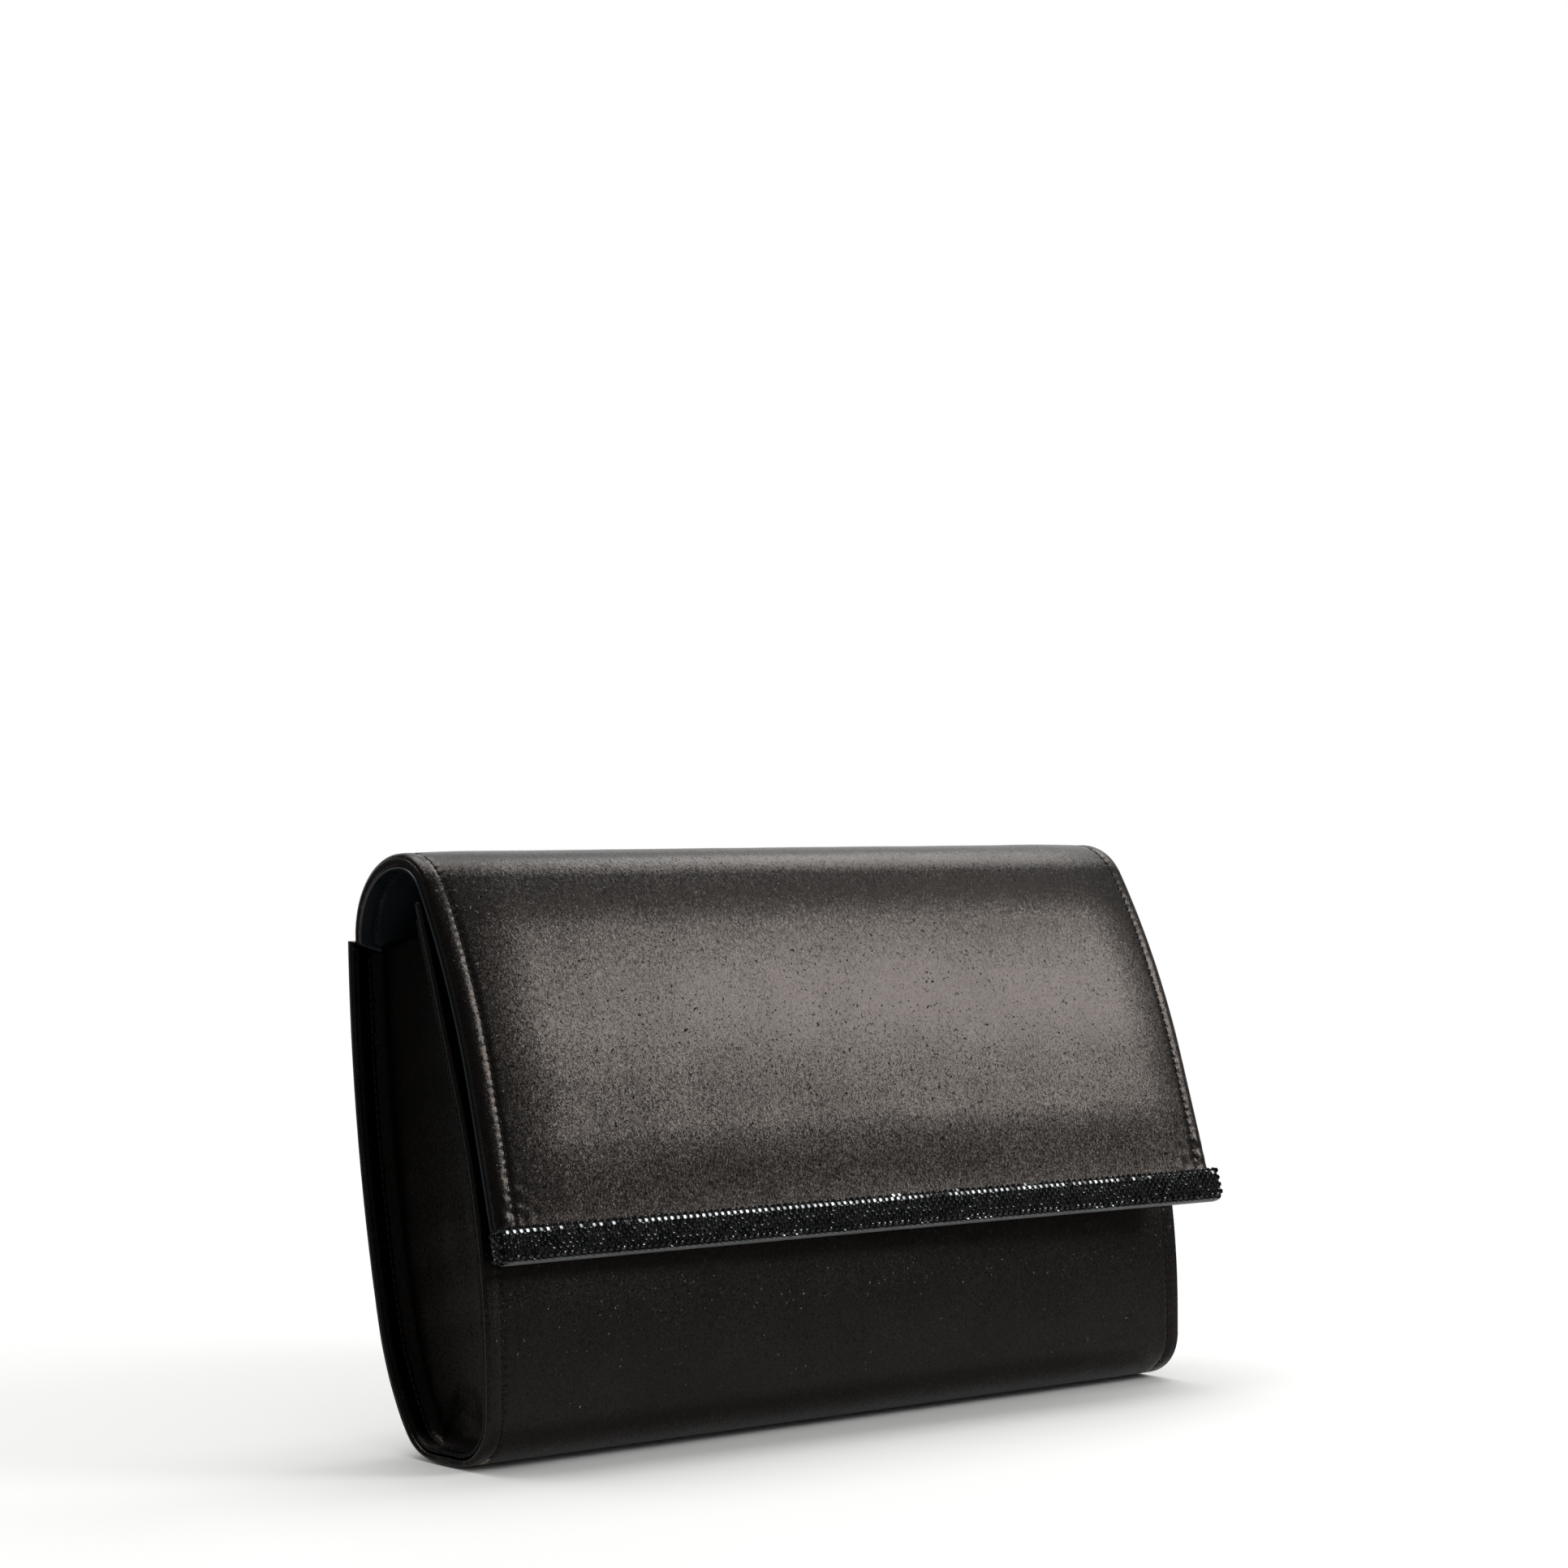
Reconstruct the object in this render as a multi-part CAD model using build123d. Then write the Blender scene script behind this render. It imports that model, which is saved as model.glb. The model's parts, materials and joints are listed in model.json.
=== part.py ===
from build123d import *
import os
from math import cos, radians, sin

# An evening clutch purse. A stiffened wrap makes its front, base and back, and a recessed gusset
# closes each end. A padded flap grows out of the back wall, arches over the mouth and ends in a
# crystal-covered bar, which a magnetic snap holds against the front.
# Lengths are in millimetres. X runs along the purse, Y from front to back and Z up. The finished
# parts are moved so that the origin lies on the floor under the middle of the whole purse.

# ---- overall sizes
body_width = 250.0          # along X, over the wrap's side edges
body_height = 145.0         # floor to the front wall's top edge
back_drop = 11.3            # how much lower the back wall's top edge is
base_flat = 12.0            # the flat strip that the purse stands on, front to back

# ---- shape of the wrap, seen from the end
front_lean = 20.0           # degrees off the vertical, at the front wall's top
belly_height = 20.0         # where the front wall stands upright
belly_radius = 220.0        # from there up to its leaning part
toe_radius = 14.0           # the bend from the front wall into the base
heel_radius = 13.5          # the bend from the base into the back wall
heel_turn = 53.0            # degrees
calf_radius = 80.0          # the next, slower bend
calf_turn = 22.5            # degrees
back_top_heading = 88.0     # degrees from the horizontal, at the back wall's top edge

# ---- layers of the wrap and the gussets
cover_skin = 0.7
board = 1.2
shell_facing = 0.5          # the lining, and the cover where it turns inside
wall = cover_skin + board + shell_facing
side_hem = 8.0              # how far the cover turns inside at the sides
mouth_hem = 12.0            # and at the mouth
board_crease = 1.0          # gap between two boards, where the wall folds
gusset_skin = 0.6
gusset_board = 1.0
gusset_lining_skin = 0.5
flange_board = 0.6          # the gusset board's thin turned edge
flange_setback = 0.6        # from the wrap's side edge to the gusset's turned edge
gusset_recess = 7.4         # from the wrap's side edge to the gusset's outer face
gusset_front_drop = 4.0     # below the front wall's top edge
gusset_back_drop = 2.0      # below the back wall's top edge

# ---- slip pocket on the back lining
pocket_width = 150.0
pocket_depth = 62.0
pocket_drop = 24.0          # from the back wall's top edge to the pocket's mouth
pocket_cloth = 0.6
pocket_slack = 1.0          # room behind the pocket's cloth
pocket_seam = 3.0
binding_cloth = 0.4
binding_width = 4.0

# ---- flap
flap_inset = 0.5            # from the wrap's side edge to the flap's
flap_skin = 0.7
flap_board_thickness = 1.2
flap_foam_thickness = 1.6
flap_lining_skin = 0.6
flap_thickness = flap_skin + flap_board_thickness + flap_foam_thickness + flap_lining_skin
flap_hem = 8.0
flap_clearance = 3.0        # between the flap's lining and the front wall's top edge
flap_edge_height = 63.5     # floor to the flap's free edge, where the bar begins
crown_turn = 65.0           # degrees of the rear bend behind the crown hinge
shoulder_radius = 16.0      # the bend from the flap's top down into its front
shoulder_lean = 31.0        # degrees off the vertical, below that bend
flap_lean = 16.5            # degrees off the vertical, at the flap's straight lower part
straight_above_snap = 14.5  # how far the straight part goes on above the snap
hinge_gap = 0.3             # between the flap's moving parts
tail_thickness = 1.3        # the flap's seam allowance, sewn inside the back wall
tail_length = 14.0
tail_inset = 12.0           # from the wrap's side edge

# ---- crystal bar on the flap's free edge
bar_overhang = 2.0          # past the flap's side edge
bar_height = 9.4
bar_thickness = 5.0
bar_proud = 1.8             # how far it stands out of the flap's outer face
bar_corner = 1.6
sleeve = 0.9                # crystal mesh round the bar's core
tongue = 5.0                # how far the flap's board goes into the core
backing_skin = 0.6

# ---- magnetic snap
snap_radius = 9.0
snap_skin = 0.6
magnet_radius = 8.2
socket_bore = 3.5
stud_plate = 1.6
stud_tip_radius = 2.1
stud_root_radius = 2.6
stud_reach = 1.8            # how far the stud goes into the socket
neck_radius = 1.5
snap_clearance = 0.3
snap_washer = 0.5
snap_washer_radius = 8.0
prong_width = 4.0
prong_thickness = 0.6
prong_offset = 4.5          # from the snap's axis


def ahead(heading):
    """The unit direction of a heading, in degrees from the first section axis."""
    return Vector(cos(radians(heading)), sin(radians(heading)))


def travel(point, heading, length, turn):
    """Where a stretch ends, and its heading there."""
    half = radians(turn) / 2
    chord = length * sin(half) / half if turn else length
    return point + ahead(heading + turn / 2) * chord, heading + turn


def straight(length):
    return (length, 0)


def bend(radius, turn):
    return (radius * radians(turn), turn)


class Course:
    """A smooth line in the purse's end section: straights and left-hand bends without a kink.

    Each stretch is its length and its turn in degrees. Depths are measured to the line's left,
    which is the inner side of every sheet that follows it.
    """

    def __init__(self, start, heading, stretches):
        self.start = start
        self.heading = heading
        self.stretches = stretches

    def length(self):
        return sum(length for length, turn in self.stretches)

    def steps(self, depth=0):
        """Each stretch at a depth: its start, heading, length and turn."""
        point = self.start + ahead(self.heading + 90) * depth
        heading = self.heading
        for length, turn in self.stretches:
            length = length - depth * radians(turn)
            yield point, heading, length, turn
            point, heading = travel(point, heading, length, turn)

    def between(self, begin, end):
        """The part of the course between two distances along it."""
        start, heading, kept, passed = None, None, [], 0
        for point, towards, length, turn in self.steps():
            low = max(begin - passed, 0)
            high = min(end - passed, length)
            if low < high:
                if not kept:
                    start, heading = travel(point, towards, low, turn * low / length)
                kept.append((high - low, turn * (high - low) / length))
            passed += length
        return Course(start, heading, kept)

    def at(self, distance):
        """The point at a distance along the course, and the heading there."""
        piece = self.between(0, distance)
        point, heading = piece.start, piece.heading
        for length, turn in piece.stretches:
            point, heading = travel(point, heading, length, turn)
        return point, heading

    def edges(self, depth):
        drawn = []
        for point, heading, length, turn in self.steps(depth):
            if turn:
                drawn.append(JernArc(point, ahead(heading), length / radians(turn), turn))
            else:
                drawn.append(Line(point, point + ahead(heading) * length))
        return drawn

    def section(self, outer, inner):
        """The face between two depths."""
        rim = self.edges(outer)
        lining = self.edges(inner)
        ends = [Line(rim[0] @ 0, lining[0] @ 0), Line(rim[-1] @ 1, lining[-1] @ 1)]
        return make_face([*rim, *lining, *ends])

    def enclosed(self, depth):
        """The face that the course encloses at a depth, closed by a line from end to end."""
        rim = self.edges(depth)
        return make_face([*rim, Line(rim[-1] @ 1, rim[0] @ 0)])


def across(face, low, high):
    """A section face made solid from one place along X to another."""
    return extrude(Plane.YZ.offset(low) * face, high - low, dir=(1, 0, 0))


def near_side(side, inner, outer):
    """The range along X between two distances from the middle, on one side."""
    return sorted((side * inner, side * outer))


def turned_sides(course, half_width, thickness, skin, facing, hem):
    """A skin that turns round both side edges and comes back inside as a hem."""
    cover = across(course.section(0, skin), -half_width, half_width)
    for side in (-1, 1):
        edge = near_side(side, half_width - skin, half_width)
        inside = near_side(side, half_width - hem, half_width)
        cover += across(course.section(0, thickness), *edge)
        cover += across(course.section(thickness - facing, thickness), *inside)
    return cover


def disc(place, radius, low, high):
    """A round plate between two heights over a plane."""
    return place.offset(low) * Cylinder(radius, high - low, align=(Align.CENTER, Align.CENTER, Align.MIN))


def wrap_course():
    """The outer face of the wrap, from the front's top edge round to the back's."""
    lean_height = body_height - belly_height - belly_radius * sin(radians(front_lean))
    lean_length = lean_height / cos(radians(front_lean))
    top_y = belly_radius * (1 - cos(radians(front_lean))) + lean_length * sin(radians(front_lean))
    front = [
        straight(lean_length),
        bend(belly_radius, front_lean),
        straight(belly_height - toe_radius),
    ]
    base = [bend(toe_radius, 90), straight(base_flat), bend(heel_radius, heel_turn)]
    calf = bend(calf_radius, calf_turn)
    begun = Course(Vector(top_y, body_height), 270 - front_lean, [*front, *base, calf])
    calf_top, heading = begun.at(begun.length())
    rise = body_height - back_drop - calf_top.Y
    back_radius = rise / (cos(radians(heading)) - cos(radians(back_top_heading)))
    back = bend(back_radius, back_top_heading + 360 - heading)
    return Course(begun.start, begun.heading, [*begun.stretches, back])


wrap = wrap_course()
front_length = sum(length for length, turn in wrap.stretches[:3])
base_length = sum(length for length, turn in wrap.stretches[3:6])
half_body = body_width / 2

# The snap sits where the front wall and the flap's straight part are parallel.
snap_distance = wrap.stretches[0][0] + belly_radius * radians(front_lean - flap_lean)
snap_foot, snap_heading = wrap.at(snap_distance)
snap_outward = ahead(snap_heading - 90)


def flap_course():
    """The outer face of the flap, from the back wall's seam over the top to the free edge."""
    seam, up = wrap.at(wrap.length())
    seam = seam + ahead(up + 90) * wall
    up = up - 360
    shoulder_heading = 270 - shoulder_lean
    shoulder = Vector(sin(radians(shoulder_heading)), -1 - cos(radians(shoulder_heading))) * shoulder_radius
    outward = ahead(shoulder_heading - 90)
    per_radius = Vector(-sin(radians(up)), 1 + cos(radians(up)))
    wanted = flap_thickness + flap_clearance
    missing = wanted - (seam + shoulder - wrap.start).dot(outward)
    rear_radius = missing / per_radius.dot(outward)
    shoulder_end = seam + per_radius * rear_radius + shoulder
    slow_turn = shoulder_lean - flap_lean
    straight_top = snap_foot.Y + straight_above_snap
    slow_radius = (shoulder_end.Y - straight_top) / (sin(radians(shoulder_lean)) - sin(radians(flap_lean)))
    stretches = [
        bend(rear_radius, 180 - up),
        bend(shoulder_radius, shoulder_heading - 180),
        bend(slow_radius, slow_turn),
        straight((straight_top - flap_edge_height) / cos(radians(flap_lean))),
    ]
    return Course(seam, up, stretches)


flap = flap_course()
half_flap = half_body - flap_inset
flap_length = flap.length()
rear_length = flap.stretches[0][0]

# The flap's hinge lines lie on its outer face: one at its seam, and two at these distances from it.
crown_distance = rear_length * crown_turn / flap.stretches[0][1]
shoulder_distance = rear_length + flap.stretches[1][0]

# Distance from the front wall to the flap's lining along the snap's axis.
straight_start = flap.at(flap_length - flap.stretches[3][0])[0]
snap_gap = (straight_start - snap_foot).dot(snap_outward) - flap_thickness
socket_height = snap_gap - stud_plate - snap_clearance
snap_place = Plane((0, snap_foot.X, snap_foot.Y), x_dir=(1, 0, 0), z_dir=(0, snap_outward.X, snap_outward.Y))


def prongs(low, high):
    """The snap socket's two bent-through legs, between two heights on its axis."""
    legs = Box(prong_thickness, prong_width, high - low, align=(Align.CENTER, Align.CENTER, Align.MIN))
    return Part() + [snap_place.offset(low) * Pos(side * prong_offset, 0, 0) * legs for side in (-1, 1)]


def shell_cover():
    """The wrap's satin, turned over its side edges and its two top edges."""
    cover = turned_sides(wrap, half_body, wall, cover_skin, shell_facing, side_hem)
    for begin, end, hem_begin, hem_end in (
        (0, cover_skin, 0, mouth_hem),
        (wrap.length() - cover_skin, wrap.length(), wrap.length() - mouth_hem, wrap.length()),
    ):
        cover += across(wrap.between(begin, end).section(0, wall), -half_body, half_body)
        facing = wrap.between(hem_begin, hem_end).section(wall - shell_facing, wall)
        cover += across(facing, -half_body, half_body)
    return cover - prongs(-wall, 0)


def wrap_board(begin, end):
    """A stiffening board inside the cover, between two distances along the wrap."""
    half = half_body - cover_skin
    return across(wrap.between(begin, end).section(cover_skin, cover_skin + board), -half, half)


def front_board():
    sheet = wrap_board(cover_skin, front_length - board_crease / 2)
    washer_top = -cover_skin - board + snap_washer
    seat = disc(snap_place, snap_washer_radius, -wall, washer_top)
    return sheet - seat - prongs(-wall, 0)


def base_board():
    return wrap_board(front_length + board_crease / 2, front_length + base_length - board_crease / 2)


def back_board():
    return wrap_board(front_length + base_length + board_crease / 2, wrap.length() - cover_skin)


def shell_lining():
    course = wrap.between(mouth_hem, wrap.length() - mouth_hem)
    half = half_body - side_hem
    return across(course.section(wall - shell_facing, wall), -half, half)


gusset = wrap.between(gusset_front_drop, wrap.length() - gusset_back_drop)
flange = flange_board + gusset_skin


def gusset_tray(side, outer, inner, rim, face, back):
    """A recessed end panel with a flange that turns out along the wrap.

    The flange lies between two depths. Rim, face and back are distances in from the wrap's side
    edge: of the flange's end and of the panel's two faces.
    """
    turned = across(gusset.section(outer, inner), *near_side(side, half_body - back, half_body - rim))
    panel = across(gusset.enclosed(outer), *near_side(side, half_body - back, half_body - face))
    return turned + panel


def gusset_cover(side):
    """The gusset's satin, with its end turned over the board's flange."""
    inner = wall + flange
    outer = inner - gusset_skin
    lip_start = flange_setback + gusset_skin
    tray = gusset_tray(side, outer, inner, flange_setback, gusset_recess, gusset_recess + gusset_skin)
    lip = near_side(side, half_body - lip_start, half_body - flange_setback)
    return tray + across(gusset.section(wall, inner), *lip)


def gusset_stiffener(side):
    face = gusset_recess + gusset_skin
    rim = flange_setback + gusset_skin
    return gusset_tray(side, wall, wall + flange_board, rim, face, face + gusset_board)


def gusset_lining(side):
    face = gusset_recess + gusset_skin + gusset_board
    panel = near_side(side, half_body - face - gusset_lining_skin, half_body - face)
    return across(gusset.enclosed(wall), *panel)


def slip_pocket():
    """A patch sewn to the back lining on three sides, open at its top."""
    top = wrap.length() - pocket_drop
    bottom = top - pocket_depth
    half = pocket_width / 2
    cloth = wall + pocket_slack
    pocket = across(wrap.between(bottom, top).section(cloth, cloth + pocket_cloth), -half, half)
    pocket += across(wrap.between(bottom, bottom + pocket_seam).section(wall, cloth), -half, half)
    for side in (-1, 1):
        seam = near_side(side, half - pocket_seam, half)
        pocket += across(wrap.between(bottom, top).section(wall, cloth), *seam)
    return pocket


def pocket_binding():
    """A tape folded over the pocket's open edge, between its side seams."""
    top = wrap.length() - pocket_drop
    half = pocket_width / 2 - pocket_seam
    cloth = wall + pocket_slack
    inner = cloth - binding_cloth
    outer = cloth + pocket_cloth + binding_cloth
    tape = across(wrap.between(top - binding_width, top + binding_cloth).section(inner, outer), -half, half)
    held = across(wrap.between(top - binding_width, top).section(cloth, cloth + pocket_cloth), -half, half)
    return tape - held


def flap_tail():
    """The flap's seam allowance, sewn inside the back wall's top edge."""
    half = half_body - tail_inset
    course = wrap.between(wrap.length() - tail_length, wrap.length())
    return across(course.section(wall, wall + tail_thickness), -half, half)


def snap_socket_base():
    """The plate and prongs that hold the socket to the front wall."""
    plate = disc(snap_place, snap_radius, -wall, snap_skin)
    behind = across(wrap.between(0, front_length).section(0, wall), -snap_radius, snap_radius)
    legs = prongs(-cover_skin - board, snap_skin)
    return (plate - behind) + legs


def snap_socket_washer():
    low = -cover_skin - board
    ring = disc(snap_place, snap_washer_radius, low, low + snap_washer)
    return ring - prongs(-wall, 0)


def snap_socket_magnet():
    low, high = snap_skin, socket_height - snap_skin
    return disc(snap_place, magnet_radius, low, high) - disc(snap_place, socket_bore, low, high)


def snap_socket_cap():
    """The socket's cup, open towards the plate and bored for the stud."""
    cup = disc(snap_place, snap_radius, snap_skin, socket_height)
    cup -= disc(snap_place, snap_radius - snap_skin, snap_skin, socket_height - snap_skin)
    return cup - disc(snap_place, socket_bore, snap_skin, socket_height)


def snap_neck():
    """The stud's rivet neck, from its plate through to the board's outer side."""
    return disc(snap_place, neck_radius, snap_gap - stud_plate, snap_gap + flap_thickness - flap_skin)


def snap_stud_plate():
    return disc(snap_place, snap_radius, snap_gap - stud_plate, snap_gap) - snap_neck()


def snap_stud():
    """The tapered stud, on the neck that is riveted through the flap's layers."""
    tip = snap_gap - stud_plate - stud_reach
    cone = Cone(stud_tip_radius, stud_root_radius, stud_reach, align=(Align.CENTER, Align.CENTER, Align.MIN))
    return snap_place.offset(tip) * cone + snap_neck()


def snap_stud_washer():
    high = snap_gap + flap_thickness - flap_skin
    ring = disc(snap_place, snap_washer_radius, high - snap_washer, high)
    return ring - snap_neck()


flap_parts = {
    "arch_rear": flap.between(hinge_gap, crown_distance - hinge_gap / 2),
    "arch_front": flap.between(crown_distance + hinge_gap / 2, shoulder_distance - hinge_gap / 2),
    "flap": flap.between(shoulder_distance + hinge_gap / 2, flap_length),
}


def flap_cover(course):
    return turned_sides(course, half_flap, flap_thickness, flap_skin, flap_lining_skin, flap_hem)


def flap_lining(course):
    half = half_flap - flap_hem
    sheet = course.section(flap_thickness - flap_lining_skin, flap_thickness)
    return across(sheet, -half, half) - snap_neck()


def flap_padding(course, outer):
    """The foam between the lining and what lies at a depth over it."""
    half = half_flap - flap_skin
    sheet = course.section(outer, flap_thickness - flap_lining_skin)
    return across(sheet, -half, half) - snap_neck()


def flap_board():
    """The flap's board, which goes on below the flap as a tongue in the bar."""
    half = half_flap - flap_skin
    course = flap_parts["flap"]
    longer = Course(course.start, course.heading, [*course.stretches, straight(tongue)])
    sheet = across(longer.section(flap_skin, flap_skin + flap_board_thickness), -half, half)
    return sheet - snap_neck() - snap_stud_washer()


# The bar's own section axes: outwards from the flap, and on along it past its free edge.
flap_edge, flap_edge_heading = flap.at(flap_length)
edge_outward = ahead(flap_edge_heading - 90)
bar_place = Plane((0, flap_edge.X, flap_edge.Y), x_dir=(0, edge_outward.X, edge_outward.Y), z_dir=(1, 0, 0))
bar_middle = (bar_proud - bar_thickness / 2, bar_height / 2)
half_bar = half_flap + bar_overhang


def bar_solid(inset, half_length):
    """The bar's rounded section, taken in all round, as a solid of some length."""
    outline = RectangleRounded(bar_thickness - 2 * inset, bar_height - 2 * inset, bar_corner - inset)
    section = bar_place.offset(-half_length) * Pos(*bar_middle, 0) * outline
    return extrude(section, 2 * half_length, dir=(1, 0, 0))


def bar_core():
    return bar_solid(sleeve, half_bar - sleeve) - flap_board()


def bar_sleeve():
    """The crystal mesh, which wraps the core and both its ends."""
    return bar_solid(0, half_bar) - bar_solid(sleeve, half_bar - sleeve) - flap_board()


def bar_backing():
    """The plain strip that covers the mesh's seam, behind the bar and along its lower edge."""
    behind = bar_proud - bar_thickness - backing_skin
    below = bar_height + backing_skin
    leg_height = below - bar_corner
    foot_length = bar_thickness + backing_skin - bar_corner
    leg = Pos(behind + backing_skin / 2, below - leg_height / 2) * Rectangle(backing_skin, leg_height)
    foot = Pos(behind + foot_length / 2, below - backing_skin / 2) * Rectangle(foot_length, backing_skin)
    section = bar_place.offset(-half_flap) * (leg + foot)
    return extrude(section, 2 * half_flap, dir=(1, 0, 0))


def all_parts():
    parts = {
        "shell_cover": shell_cover(),
        "front_board": front_board(),
        "base_board": base_board(),
        "back_board": back_board(),
        "shell_lining": shell_lining(),
        "slip_pocket": slip_pocket(),
        "pocket_binding": pocket_binding(),
        "flap_tail": flap_tail(),
        "snap_socket_base": snap_socket_base(),
        "snap_socket_washer": snap_socket_washer(),
        "snap_socket_magnet": snap_socket_magnet(),
        "snap_socket_cap": snap_socket_cap(),
        "snap_stud_plate": snap_stud_plate(),
        "snap_stud": snap_stud(),
        "snap_stud_washer": snap_stud_washer(),
        "flap_board": flap_board(),
        "bar_core": bar_core(),
        "bar_sleeve": bar_sleeve(),
        "bar_backing": bar_backing(),
    }
    for name, side in (("left", -1), ("right", 1)):
        parts[f"gusset_cover_{name}"] = gusset_cover(side)
        parts[f"gusset_stiffener_{name}"] = gusset_stiffener(side)
        parts[f"gusset_lining_{name}"] = gusset_lining(side)
    for name, course in flap_parts.items():
        padding_top = flap_skin + flap_board_thickness if name == "flap" else flap_skin
        parts[f"{name}_cover"] = flap_cover(course)
        parts[f"{name}_foam"] = flap_padding(course, padding_top)
        parts[f"{name}_lining"] = flap_lining(course)
    return parts


purse_parts = all_parts()
extent = Compound(children=[Compound(part.solids()) for part in purse_parts.values()]).bounding_box()
origin = Vector(extent.center().X, extent.center().Y, extent.min.Z)

os.makedirs("parts", exist_ok=True)
for name, part in purse_parts.items():
    export_step(Pos(-origin) * part, f"parts/{name}.step")
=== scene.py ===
import json
from math import cos, pi, radians, sin

import bpy
import numpy as np
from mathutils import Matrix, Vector


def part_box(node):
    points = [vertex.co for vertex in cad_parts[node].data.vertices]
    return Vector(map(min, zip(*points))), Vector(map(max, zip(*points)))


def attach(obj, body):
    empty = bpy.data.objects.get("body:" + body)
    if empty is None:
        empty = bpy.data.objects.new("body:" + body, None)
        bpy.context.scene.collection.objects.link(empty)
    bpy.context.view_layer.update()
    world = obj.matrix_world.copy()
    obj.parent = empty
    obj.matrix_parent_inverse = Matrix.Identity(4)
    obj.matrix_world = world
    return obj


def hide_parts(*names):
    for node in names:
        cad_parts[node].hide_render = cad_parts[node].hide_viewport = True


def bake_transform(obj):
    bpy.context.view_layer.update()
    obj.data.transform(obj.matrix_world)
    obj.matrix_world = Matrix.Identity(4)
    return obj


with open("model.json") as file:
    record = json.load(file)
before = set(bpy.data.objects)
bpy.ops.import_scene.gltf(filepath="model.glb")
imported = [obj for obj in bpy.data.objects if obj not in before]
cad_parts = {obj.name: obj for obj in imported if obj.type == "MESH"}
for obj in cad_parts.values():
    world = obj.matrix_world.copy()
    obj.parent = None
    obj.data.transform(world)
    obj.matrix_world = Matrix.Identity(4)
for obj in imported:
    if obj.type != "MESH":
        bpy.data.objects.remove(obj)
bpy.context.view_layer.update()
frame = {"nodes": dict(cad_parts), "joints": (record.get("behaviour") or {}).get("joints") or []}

MM = 0.001
WHOLE_TURN = 2 * pi

# ---- sizes in metres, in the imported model's frame. Depths run inwards from a sheet's outer face.
shell_low, shell_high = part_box("shell_cover")
half_body = shell_high.x
half_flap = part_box("flap_cover")[1].x
half_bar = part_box("bar_sleeve")[1].x
floor_height = shell_low.z
wall = 2.4 * MM
flange = 1.2 * MM  # the end gussets' turned edges, sewn to the wall
flange_setback = 0.6 * MM  # from the body's side edge to a flange's
flange_reach = 8.6 * MM  # from the body's side edge to a flange's inner end
gusset_recess = 7.4 * MM
flap_thickness = 4.1 * MM

# The wrap's end section, from the front wall's top edge round to the back's. Turns in degrees.
body_height = shell_high.z
back_drop = 11.3 * MM  # how much lower the back wall's top edge is
front_lean = 20  # off the vertical, at the front wall's top
belly_height = 20 * MM  # where the front wall stands upright
belly_radius = 220 * MM
toe_radius = 14 * MM
base_flat = 12 * MM
heel_radius = 13.5 * MM
heel_turn = 53
calf_radius = 80 * MM
calf_turn = 22.5
back_top_heading = 88

# The flap's end section, from the back wall's seam over the top to the bar.
crown_turn = 65  # of the rear bend, behind the crown hinge
shoulder_radius = 16 * MM
shoulder_lean = 31  # off the vertical, below the shoulder's bend
flap_lean = 16.5  # and at the straight lower part
straight_above_snap = 14.5 * MM
flap_edge_height = 63.5 * MM  # floor to the bar's top

# The flap hangs a little askew: its right side further forward than its left.
skew_at_shoulder = 2.3 * MM
skew_at_bar = 4.2 * MM
forward_at_sides = 1.2 * MM

# Sewing
stitch_pitch = 2.3 * MM
stitch_length = 0.62 * stitch_pitch
stitch_inset = 4.7 * MM
bead_inset = 2.6 * MM
thread_radius = 0.2 * MM

# Crystals
stone_pitch = 2.08 * MM
stone_radius = 0.76 * MM
table_radius = 0.5 * MM
stone_droops = (0.32, -0.08, 0.22)  # how far the stones' tables lean down the bar, row by row


def turned(heading):
    """Unit vectors at some headings, in degrees from the Y axis towards the Z axis."""
    angle = np.radians(heading)
    return np.stack([np.cos(angle), np.sin(angle)], axis=-1)


def bend(radius, turn):
    """A stretch of a course: its length and its turn."""
    return radius * radians(turn), turn


class Course:
    """A smooth line in the purse's end section: straights and left-hand bends."""

    def __init__(self, start, heading, stretches):
        self.pieces = []
        self.length = 0
        point = np.array(start, float)
        for length, turn in stretches:
            self.pieces.append((self.length, point, heading, length, turn))
            point = self.advance(point, heading, length, turn, length)
            heading = heading + turn
            self.length += length
        self.end, self.end_heading = point, heading

    @staticmethod
    def advance(point, heading, length, turn, distance):
        half = turn * distance / length / 2
        chord = distance * np.sinc(np.asarray(half) / 180)
        return point + turned(heading + half) * np.asarray(chord)[..., None]

    def at(self, distance, depth=0):
        """Points in Y and Z at some distances along and depths, and the headings there."""
        distance, depth = np.broadcast_arrays(np.asarray(distance, float), np.asarray(depth, float))
        points = np.zeros(distance.shape + (2,))
        headings = np.zeros(distance.shape)
        last = len(self.pieces) - 1
        for index, (begun, point, heading, length, turn) in enumerate(self.pieces):
            low = -np.inf if index == 0 else begun
            high = np.inf if index == last else begun + length
            here = (distance >= low) & (distance <= high)
            gone = distance[here] - begun
            bent = np.clip(gone, 0, length)
            beyond = gone - bent
            towards = heading + turn * bent / length
            reached = self.advance(point, heading, length, turn, bent)
            points[here] = reached + turned(towards) * beyond[..., None]
            headings[here] = towards
        return points + turned(headings + 90) * depth[..., None], headings


lean_height = body_height - belly_height - belly_radius * sin(radians(front_lean))
lean_length = lean_height / cos(radians(front_lean))
toe_begin = lean_length + belly_radius * radians(front_lean) + belly_height - toe_radius
base_middle = toe_begin + toe_radius * radians(90) + base_flat / 2


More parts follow.
